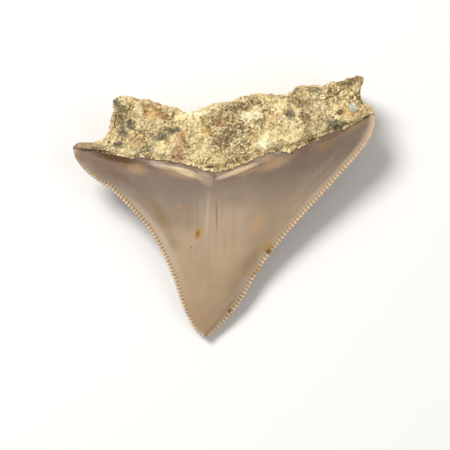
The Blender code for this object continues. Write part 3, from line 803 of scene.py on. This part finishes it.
enamelLook = {
    # colour by row: 0 at the tip, 1 at the enamel's end
    "rows": ((0, (150, 112, 74)), (0.04, (156, 126, 92)), (0.2, (170, 144, 111)),
             (0.4, (178, 151, 119)), (0.6, (174, 151, 124)), (0.72, (156, 136, 116)),
             (0.84, (134, 115, 98)), (0.93, (131, 111, 94)), (1, (132, 110, 91))),
    "lean": 0.17,    # the axis leans this much as it rises
    # painted shade: the right side and a flank left of the axis are darkened
    "rightShade": (226, 224, 220), "leftShade": (221, 222, 224),
    # an overlay is its colour and how strongly it is laid on
    "cloud": ((128, 112, 88), 0.22), "mauve": ((150, 128, 118), 0.25),
    "paleLine": ((200, 178, 152), 0.4), "darkLine": ((118, 98, 80), 0.3),
    # the band and the rim's glow are painted light along the cutting edges, the rim's gap colour is
    # painted shade between the serrations, and the end line is a painted shadow under the crust
    "band": ((196, 178, 156), 1), "rimTan": ((176, 150, 112), 0.8),
    "rimPaintedLight": ((190, 163, 132), 1), "rimCream": ((228, 198, 160), 1),
    "paintedShadeInGaps": ((132, 102, 66), 0.5), "paintedShadowLine": ((70, 48, 28), 0.75),
    "lingual": ((150, 130, 104), 0.35), "neck": ((96, 74, 54), 0.85),
    "gapInCream": 0.7, "lineWobble": 0.5, "neckWobble": 0.05,
    "roughness": (0.24, 0.42), "neckRoughness": 0.255, "ior": 1.55,
    "striaeHeight": 0.7, "dimpleHeight": 0.8, "bump": (0.3, 0.04),    # strength and millimetres
    # a noise is its size in millimetres, detail, roughness, offset and stretch
    "noises": {"clouds": (4, 3), "bead": (0.6, 2, 0.5, 3), "uneven": (0.7, 4), "wear": (1.4, 5, 0.6, 9),
               "dimples": (0.6, 4, 0.55, 4)},
    "uprightNoises": {"mauves": (2.2, 3, 0.6, 7, (1, 3, 1)),
                      "striae": (0.24, 3, 0.65, 0, (1, 26, 6))},
    # a ramp is a signal, where it starts and ends, and its values there where not 0 and 1;
    # aside is millimetres right of the axis, and rim is millimetres from the cutting edge
    "zones": {
        "nearEdge": (("aside", 1.5, 4.5), ("rim", 2.5, 6.5, 1, 0)), "farRight": (("aside", 4, 8.5),),
        "leftSide": (("aside", -3.6, -1, 1, 0), ("row", 0.46, 0.57), ("row", 0.74, 0.9, 1, 0.1)),
        "cloud": (("clouds", 0.45, 0.7),), "mauve": (("mauves", 0.5, 0.7),),
        "nearAxis": (("fromAxis", 1.5, 5.5, 1, 0.1),),
        "striaeRows": (("row", 0.25, 0.5), ("row", 0.66, 0.84, 1, 0.1)),
        "paleLine": (("striae", 0.5, 0.7),), "darkLine": (("striae", 0.3, 0.44, 1, 0),),
        "band": (("rim", 0.45, 0.9), ("rim", 1.2, 2.6, 1, 0), ("aside", -2, 3, 0.6, 0.12),
                 ("row", 0.15, 0.45, 0.2, 1), ("row", 0.55, 0.8, 1, 0.2)),
        "beadTone": (("bead", 0.3, 0.65, 0.45, 0.95),), "belowShoulder": (("row", 0.6, 0.95, 1, 0.5),),
        "rimTan": (("rim", 0.6, 1.2, 1, 0),),
        "rimPaintedLight": (("rim", 0.3, 1.7, 1, 0), ("row", 0.4, 0.7, 0.35, 1), ("aside", 0, 3)),
        "rimCream": (("rim", 0.25, 0.65, 1, 0),), "paintedShadeInGaps": (("rim", 0.4, 0.85, 1, 0),),
        "onFace": (("labial", 0.9, 1),), "paintedShadowLine": (("fromLine", -0.08, 0.2, 1, 0),),
        "neck": (("neckRow", 0.855, 0.875),),
        "dullEnd": (("belowCrust", 0.9, 2.4, 0.3, 0), ("across", -12, -8, 2, 1)),
        "polish": (("wear", 0.35, 0.7),),
    },
    # a pigment is its colour, raggedness, softness and strength
    "pigments": {
        "violetBrown": ((80, 50, 10), 0.7, 0.6, 0.95), "umber": ((106, 73, 45), 0.5, 0.5, 0.85),
        "greyBrown": ((127, 99, 76), 0.8, 0.7, 0.6), "tan": ((141, 108, 61), 0.8, 0.6, 0.65),
        # cream and dull cream are partly colour and partly painted highlight, pearl is a painted
        # highlight, and shadow and shade are painted shade
        "cream": ((230, 206, 165), 0.25, 0.5, 0.9), "dullCreamAndHighlight": ((208, 179, 141), 0.25, 0.5, 0.75),
        "pearlHighlight": ((179, 158, 139), 0.5, 0.6, 0.7), "lilac": ((156, 132, 119), 0.5, 0.6, 0.8),
        "pink": ((189, 137, 97), 0.9, 0.7, 0.5), "rust": ((166, 119, 36), 0.5, 0.6, 0.85),
        "darkRust": ((121, 64, 10), 0.3, 0.6, 0.6), "olive": ((132, 104, 50), 1.2, 0.7, 0.45),
        "mustard": ((158, 117, 10), 0.7, 0.6, 0.75), "black": ((75, 43, 10), 0.3, 0.5, 0.8),
        "shadow": ((101, 75, 53), 0.3, 0.6, 0.6), "warmTan": ((177, 144, 106), 0.7, 0.7, 0.7),
        "shade": ((134, 115, 95), 1, 0.9, 0.5),
    },
    # a mark is x, y, half length, half width, turn in degrees and pigment; most are stains, and some
    # are painted highlight and painted shade
    "stainsAndPaintedLight": (
        # under the enamel's end, left of the notch: the cream and dull cream streaks along the bulge
        # are partly the enamel's colour and partly a painted highlight, the pearl marks are painted
        # highlights, and the shadow mark is painted shade in the fold at the notch
        (-11.5, 31.8, 4.2, 1, -20, "violetBrown"), (-8, 30.5, 1.5, 0.3, -10, "umber"),
        (-10.5, 30.3, 1.7, 0.4, -15, "tan"), (-8.5, 29.5, 1.5, 0.7, -15, "warmTan"),
        (-2, 28, 2.7, 0.5, -20, "warmTan"), (-3.5, 29.2, 2, 0.4, -15, "dullCreamAndHighlight"),
        (-0.5, 28.1, 2.2, 0.5, -25, "cream"), (1.7, 27, 1, 0.3, -30, "dullCreamAndHighlight"),
        (2.6, 26.7, 1.4, 0.8, -45, "pearlHighlight"), (-5, 30, 1.2, 0.4, -20, "pearlHighlight"),
        (4.2, 26.5, 0.2, 0.7, -20, "shadow"),
        # right of the notch: the dull cream streak along the bulge is partly the enamel's colour and
        # partly a painted highlight
        (10, 27.3, 2, 0.5, 15, "warmTan"), (8, 27.3, 3.5, 0.4, 15, "dullCreamAndHighlight"),
        (14.5, 28, 2.5, 0.8, 15, "warmTan"), (13.5, 29, 1, 0.5, 20, "pink"),
        (15.5, 30, 1, 0.4, 5, "lilac"), (20, 30, 1.5, 0.7, 30, "umber"),
        (24.5, 31.7, 2.7, 0.6, 20, "umber"), (23.5, 30, 1.5, 0.5, 25, "tan"),
        (28.5, 32.7, 1.5, 0.4, 20, "tan"), (30.5, 34, 0.8, 0.8, 55, "tan"),
        # the left shoulder
        (-13, 29.5, 3, 1, -35, "greyBrown"), (-18, 32.5, 1, 1.5, -65, "greyBrown"),
        # patches in the flutes, and marks on the open face: the shade marks are painted shade, and the
        # thin shadow line is painted shade in the crease down the axis
        (-5.5, 21, 2.5, 0.8, -65, "olive"), (-4, 17, 1.5, 0.7, -70, "shade"),
        (9, 12, 2.5, 0.8, 55, "olive"), (10.5, 18, 2, 1.2, 50, "warmTan"),
        (7.5, 23, 2, 1.4, 0, "shade"), (0.4, 17.6, 0.9, 0.5, 75, "rust"),
        (0.4, 17.6, 0.5, 0.2, 75, "darkRust"), (-0.9, 15.4, 0.2, 0.2, 0, "darkRust"),
        (-2.2, 22.5, 0.4, 0.3, 0, "pink"), (3.9, 20.5, 2.4, 0.1, 85, "shadow"),
        (12, 14, 1, 0.7, 35, "mustard"), (12, 13.3, 0.5, 0.3, -30, "black"),
        (9.6, 10.3, 1.2, 0.2, 45, "mustard"), (4.4, 4.1, 0.3, 0.3, 0, "black"),
    ),
}


def makeEnamel():
    look = enamelLook
    material, tree, shader = newMaterial("enamel")
    where, parts, signals = readTooth(tree, "row", "rim", "belowCrust", "gap", "labial")
    row = signals["row"]
    labial = signals["labial"]
    lingual = calculate(tree, "SUBTRACT", 1.0, labial)
    aside = calculate(tree, "SUBTRACT", parts["X"], times(tree, parts["Y"], look["lean"]))
    upright = addNode(tree, "ShaderNodeCombineXYZ", {"X": aside, "Y": parts["Y"],
                                                     "Z": parts["Z"]}).outputs[0]
    for name, settings in look["noises"].items():
        signals[name] = grain(tree, where, *settings)
    for name, settings in look["uprightNoises"].items():
        signals[name] = grain(tree, upright, *settings)
    wobble = calculate(tree, "SUBTRACT", signals["uneven"], 0.5)
    signals["aside"] = aside
    signals["fromAxis"] = calculate(tree, "ABSOLUTE", aside)
    signals["fromLine"] = calculate(tree, "SUBTRACT", signals["belowCrust"],
                                    times(tree, signals["uneven"], look["lineWobble"]))
    signals["neckRow"] = calculate(tree, "ADD", row, times(tree, wobble, look["neckWobble"]))
    zones = {name: zone(tree, signals, ramps) for name, ramps in look["zones"].items()}

    colour = rowColours(tree, row, look["rows"])
    # painted shade on the right side and on a flank left of the axis
    rightSide = calculate(tree, "MAXIMUM", zones["nearEdge"], zones["farRight"])
    colour = blend(tree, rightSide, colour, paint(*look["rightShade"]), "MULTIPLY")
    colour = blend(tree, zones["leftSide"], colour, paint(*look["leftShade"]), "MULTIPLY")
    colour = lay(tree, colour, zones["cloud"], look["cloud"])
    colour = lay(tree, colour, zones["mauve"], look["mauve"])

    # fine growth lines down the middle of the labial face
    growing = times(tree, zones["nearAxis"], zones["striaeRows"])
    for name in ("paleLine", "darkLine"):
        colour = lay(tree, colour, times(tree, zones[name], growing), look[name])

    # painted light: a paler band inside the cutting edges, stronger on the left one
    colour = lay(tree, colour, times(tree, zones["band"], labial), look["band"])

    # serrations: cream beads with painted shade in the gaps between them, painted light along the right
    # rim, and a cream rim where they have died away
    beadTone = times(tree, zones["beadTone"], zones["belowShoulder"])
    gap = signals["gap"]
    onBead = calculate(tree, "SUBTRACT", 1.0, times(tree, gap, look["gapInCream"]))
    paintedGapShade = times(tree, zones["paintedShadeInGaps"], gap, zones["belowShoulder"])
    colour = lay(tree, colour, times(tree, zones["rimTan"], beadTone), look["rimTan"])
    # painted light along the right cutting edge
    colour = lay(tree, colour, times(tree, zones["rimPaintedLight"], labial), look["rimPaintedLight"])
    colour = lay(tree, colour, times(tree, zones["rimCream"], beadTone, onBead), look["rimCream"])
    colour = lay(tree, colour, paintedGapShade, look["paintedShadeInGaps"])

    # stains with painted highlights and shade, and a painted shadow line under the crust
    colour = addStainsAndPaintedLight(tree, colour, where, zones["onFace"], look)
    colour = lay(tree, colour, times(tree, zones["paintedShadowLine"], labial), look["paintedShadowLine"])

    # the lingual face is plainer, with a dark neck where the root begins
    neck = times(tree, zones["neck"], lingual)
    colour = lay(tree, colour, lingual, look["lingual"])
    colour = lay(tree, colour, neck, look["neck"])
    tree.links.new(colour, shader.inputs["Base Color"])

    # polished, with a duller neck and a duller left end under the crust
    low, high = look["roughness"]
    polish = calculate(tree, "ADD", times(tree, zones["polish"], high - low), low)
    duller = calculate(tree, "MAXIMUM", times(tree, neck, look["neckRoughness"]),
                       times(tree, zones["dullEnd"], labial))
    tree.links.new(calculate(tree, "ADD", polish, duller), shader.inputs["Roughness"])
    shader.inputs["IOR"].default_value = look["ior"]
    lines = times(tree, signals["striae"], zones["nearAxis"], look["striaeHeight"])
    dimples = times(tree, signals["dimples"], look["dimpleHeight"])
    addBump(tree, shader, calculate(tree, "ADD", lines, dimples), *look["bump"])
    return material


rootLook = {
    # colour by tone, from the darkest to the palest
    "tones": ((0, (104, 82, 50)), (0.15, (140, 115, 76)), (0.32, (176, 150, 102)),
              (0.52, (216, 191, 138)), (0.72, (240, 218, 163)), (1, (255, 244, 200))),
    # tone is a level, less where it is mottled, and what sand, grains and blotches add to it
    "level": 0.685, "mottledLoss": 0.12, "sandShare": 0.75, "grainShare": 0.3, "blotchShare": 0.32,
    # an overlay is its colour and how strongly it is laid on
    "dust": ((158, 150, 122), 0.3), "rust": ((190, 126, 52), 0.4), "edge": ((140, 116, 76), 1),
    "speck": ((88, 70, 42), 0.45), "paintedHollowShade": ((88, 70, 42), 0.35),
    "roughness": (0.7, 0.95), "speckDepth": -0.6, "bump": (0.8, 0.1),    # strength and millimetres
    # a noise is its size in millimetres, detail, roughness, offset and stretch
    "noises": {"blotch": (2.4, 5, 0.6), "sand": (0.18, 3, 0.6, 33), "mottling": (1.7, 4, 0.6, 41),
               "dusty": (3.4, 4, 0.6, 21), "rusty": (2.2, 5, 0.66, 13), "patches": (3, 2, 0.55, 15),
               "specks": (0.3, 4, 0.66, 5), "wear": (0.6, 4, 0.6, 17), "surface": (0.3, 6, 0.7, 2)},
    # a ramp is a signal, where it starts and ends, and its values there where not 0 and 1
    "zones": {
        "blotch": (("blotch", 0.3, 0.7, -0.5, 0.5),), "sand": (("sand", 0.3, 0.7, -0.5, 0.5),),
        "mottled": (("mottling", 0.44, 0.62, 0.45, 1.2),), "dust": (("dusty", 0.5, 0.66),),
        "rust": (("rusty", 0.56, 0.68),), "onFace": (("labial", 0.9, 1),),
        "edge": (("belowCrust", -0.5, -0.05), ("patches", 0.4, 0.55, 0.15, 0.7),
                 ("across", 2, 7, 1, 0.15)),
        "speck": (("specks", 0.57, 0.66),), "paintedHollowShade": (("hollow", 0.1, 0.2),),
        "wear": (("wear", 0.35, 0.7),),
    },
    "stainLoss": (("fine", -0.2, 0.3, 1, 0.62),),    # stains show less on the palest sand
    # a pigment is its colour, raggedness, softness and strength
    "pigments": {
        "umber": ((112, 88, 54), 1, 0.5, 0.75), "black": ((74, 54, 28), 0.4, 0.4, 1),
        "olive": ((134, 120, 82), 1, 0.6, 0.7), "slate": ((92, 90, 70), 0.8, 0.45, 0.9),
        "stone": ((142, 136, 120), 0.8, 0.5, 0.7), "ochre": ((216, 168, 92), 0.8, 0.6, 0.65),
        "rust": ((150, 106, 58), 0.7, 0.5, 0.75), "redBrown": ((148, 102, 70), 0.9, 0.5, 0.8),
        "cream": ((255, 246, 204), 0.8, 0.6, 0.7), "pebble": ((216, 216, 198), 0.3, 0.3, 0.9),
        "wing": ((146, 124, 90), 0.5, 0.4, 0.95), "wingShade": ((100, 80, 56), 0.3, 0.5, 0.7),
        "clean": ((238, 218, 164), 1.1, 0.7, 0.45), "grime": ((134, 120, 82), 1.3, 0.8, 0.35),
    },
    # a stain is x, y, half length, half width, turn in degrees and pigment
    "stainsAndPaintedLight": (
        # cleaner and dirtier crust
        (15, 32.5, 3, 1.5, 15, "clean"), (20, 32.5, 2.5, 1, 20, "clean"),
        (22, 38.5, 1.5, 0.6, 5, "clean"), (2.5, 31.5, 1.5, 1, -15, "clean"),
        (4.5, 38, 1.5, 0.7, 0, "clean"), (-10, 38, 1.5, 3.5, 0, "grime"),
        # left third
        (-11, 41.3, 1, 0.6, -50, "slate"), (-10.5, 39, 1.7, 0.8, 80, "olive"),
        (-9.2, 37.7, 0.5, 0.3, 5, "black"), (-9, 37, 1, 0.7, -35, "slate"),
        (-10.5, 36, 1, 0.6, -55, "slate"), (-11.5, 34, 0.8, 0.5, 0, "slate"),
        (-6.3, 39.5, 1.5, 0.4, -80, "rust"), (-5.3, 39.8, 1.2, 0.4, -20, "rust"),
        (-5, 38.4, 1.5, 0.9, -15, "ochre"), (-4, 34.5, 1.7, 0.6, 10, "slate"),
        (-1.7, 35.3, 1.3, 0.5, 0, "slate"), (-6, 32.5, 0.7, 0.5, 5, "stone"),
        # the reddish bend
        (-3, 33.6, 0.8, 0.4, 90, "rust"), (-0.3, 33.3, 1.2, 0.4, -80, "umber"),
        (-1.5, 31.5, 1.5, 1, -85, "redBrown"),
        # the middle
        (2, 38, 2.2, 0.5, -5, "cream"), (11.5, 36.5, 2, 0.6, -5, "cream"),
        (3.5, 34.8, 1, 0.7, -45, "ochre"), (6, 36.5, 1.2, 0.5, 65, "rust"),
        (7.4, 37.8, 0.3, 0.2, 0, "black"), (10, 38.2, 1.7, 0.8, -10, "umber"),
        (7.7, 33.8, 1, 0.8, 0, "umber"), (6, 32.5, 2, 0.8, 10, "umber"),
        (10, 32.5, 1, 0.4, 25, "olive"), (11.5, 32.5, 1.2, 0.4, 80, "ochre"),
        (3.7, 28.6, 0.6, 0.2, -10, "black"), (5, 28.6, 0.8, 0.4, 0, "rust"),
        (12, 31, 0.6, 0.4, 20, "rust"), (-8.5, 31.8, 0.6, 0.4, 0, "umber"),
        # right third
        (13, 31.7, 1.5, 0.8, 15, "cream"), (18, 36, 0.8, 0.7, 0, "slate"),
        (19.5, 38, 1.5, 0.8, -25, "umber"), (20.7, 35, 0.8, 1.4, 15, "umber"),
        (23.3, 39.6, 1, 0.6, -10, "stone"), (26.5, 35.4, 0.7, 0.5, -10, "black"),
        (27.7, 35.2, 1, 0.7, -35, "ochre"), (28.6, 36, 0.8, 0.8, 0, "pebble"),
        (25.3, 33.5, 1.3, 0.8, 0, "slate"), (29, 40.5, 2.2, 1.1, 20, "umber"),
        # the left wing
        (-17, 34, 3.4, 1.1, -5, "wing"), (-16.5, 33.5, 2.5, 0.2, -10, "wingShade"),
    ),
}


def makeRoot():
    look = rootLook
    material, tree, shader = newMaterial("rootMatrix")
    where, _, signals = readTooth(tree, "belowCrust", "labial", "hollow", "tone")
    for name, settings in look["noises"].items():
        signals[name] = grain(tree, where, *settings)
    zones = {name: zone(tree, signals, ramps) for name, ramps in look["zones"].items()}

    # tone: big blotches, every grain's own, and fine sand, calmer where the crust is clean
    grainTone = calculate(tree, "SUBTRACT", signals["tone"], 0.5)
    fine = calculate(tree, "ADD", times(tree, zones["sand"], look["sandShare"]),
                     times(tree, grainTone, look["grainShare"]))
    broken = calculate(tree, "ADD", times(tree, fine, zones["mottled"]),
                       times(tree, zones["blotch"], look["blotchShare"]))
    level = calculate(tree, "SUBTRACT", look["level"],
                      times(tree, zones["mottled"], look["mottledLoss"]))
    colour = rowColours(tree, calculate(tree, "ADD", level, broken), look["tones"])
    colour = lay(tree, colour, zones["dust"], look["dust"])
    colour = lay(tree, colour, zones["rust"], look["rust"])
    signals["fine"] = fine
    stainShare = times(tree, zones["onFace"], zone(tree, signals, look["stainLoss"]))
    colour = addStainsAndPaintedLight(tree, colour, where, stainShare, look)
    colour = lay(tree, colour, times(tree, zones["edge"], signals["labial"]), look["edge"])
    colour = lay(tree, colour, zones["speck"], look["speck"])
    # painted shade in the hollows between the grains
    colour = lay(tree, colour, zones["paintedHollowShade"], look["paintedHollowShade"])
    tree.links.new(colour, shader.inputs["Base Color"])

    low, high = look["roughness"]
    rough = calculate(tree, "ADD", times(tree, zones["wear"], high - low), low)
    tree.links.new(rough, shader.inputs["Roughness"])
    height = calculate(tree, "ADD", signals["surface"],
                       times(tree, zones["speck"], look["speckDepth"]))
    addBump(tree, shader, height, *look["bump"])
    return material


def makeFloorPaper(colour):
    material, _, shader = newMaterial("floorPaper")
    shader.inputs["Base Color"].default_value = paint(*colour)
    shader.inputs["Roughness"].default_value = studio["floorRoughness"]
    return material


# The view: straight down on the labial face, turned a little, through a long lens.
view = {
    "middle": (5.14, 18.56),       # what the view is centred on, in the tooth's flat frame
    "turn": math.radians(6.04),    # how far the shoulder line climbs to the right
    "width": 76.05,                # millimetres across the view
    "lens": 100.0,
    "sensor": 36.0,
    "clipStart": 0.01,
}


def flatToWorld(move):
    pitch = Matrix.Rotation(tooth["restPitch"], 4, "X")
    return Matrix.Scale(metresPerMm, 4) @ Matrix.Translation(move) @ pitch


def addCamera(move):
    distance = view["width"] * view["lens"] / view["sensor"]
    toWorld = flatToWorld(move)
    target = toWorld @ Vector((*view["middle"], 0.0))
    axes = Matrix.Rotation(tooth["restPitch"], 4, "X") @ Matrix.Rotation(-view["turn"], 4, "Z")
    data = bpy.data.cameras.new("viewCamera")
    data.lens = view["lens"]
    data.sensor_width = view["sensor"]
    data.clip_start = view["clipStart"]
    camera = bpy.data.objects.new("viewCamera", data)
    bpy.context.scene.collection.objects.link(camera)
    camera.matrix_world = Matrix.Translation(target) @ axes @ Matrix.Translation(
        (0.0, 0.0, distance * metresPerMm))
    bpy.context.scene.camera = camera
    return target, axes


studio = {
    "floorSize": 3.0,
    "floorColour": (236, 234, 231), "floorRoughness": 0.85,
    "skyColour": (255, 255, 255), "skyStrength": 0.35,
    # name, towards (right, up, towards the camera), distance, size, power
    "lamps": (("keyLamp", (-0.42, 0.55, 0.72), 0.5, 0.22, 2.3),
              ("fillLamp", (0.62, -0.1, 0.78), 0.6, 0.4, 0.8)),
}


def addStudio(target, axes):
    mesh = bmesh.new()
    bmesh.ops.create_grid(mesh, x_segments=1, y_segments=1, size=studio["floorSize"] / 2.0)
    data = bpy.data.meshes.new("floor")
    mesh.to_mesh(data)
    mesh.free()
    floor = bpy.data.objects.new("floor", data)
    floor.data.materials.append(makeFloorPaper(studio["floorColour"]))
    bpy.context.scene.collection.objects.link(floor)

    world = bpy.data.worlds.new("studio")
    world.use_nodes = True
    background = world.node_tree.nodes["Background"]
    background.inputs["Color"].default_value = paint(*studio["skyColour"])
    background.inputs["Strength"].default_value = studio["skyStrength"]
    bpy.context.scene.world = world

    for name, towards, distance, size, power in studio["lamps"]:
        lampData = bpy.data.lights.new(name, "AREA")
        lampData.shape = "DISK"
        lampData.size = size
        lampData.energy = power
        lamp = bpy.data.objects.new(name, lampData)
        direction = (axes.to_3x3() @ Vector(towards)).normalized()
        lamp.location = target + direction * distance
        lamp.rotation_mode = "QUATERNION"
        lamp.rotation_quaternion = direction.to_track_quat("Z", "Y")
        bpy.context.scene.collection.objects.link(lamp)
    bpy.context.scene.view_settings.view_transform = "Standard"


fossilTooth, toothMove = buildTooth()
fossilTooth.data.materials.append(makeEnamel())
fossilTooth.data.materials.append(makeRoot())
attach(fossilTooth, "root")
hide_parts("tooth")
viewTarget, viewAxes = addCamera(toothMove)
addStudio(viewTarget, viewAxes)
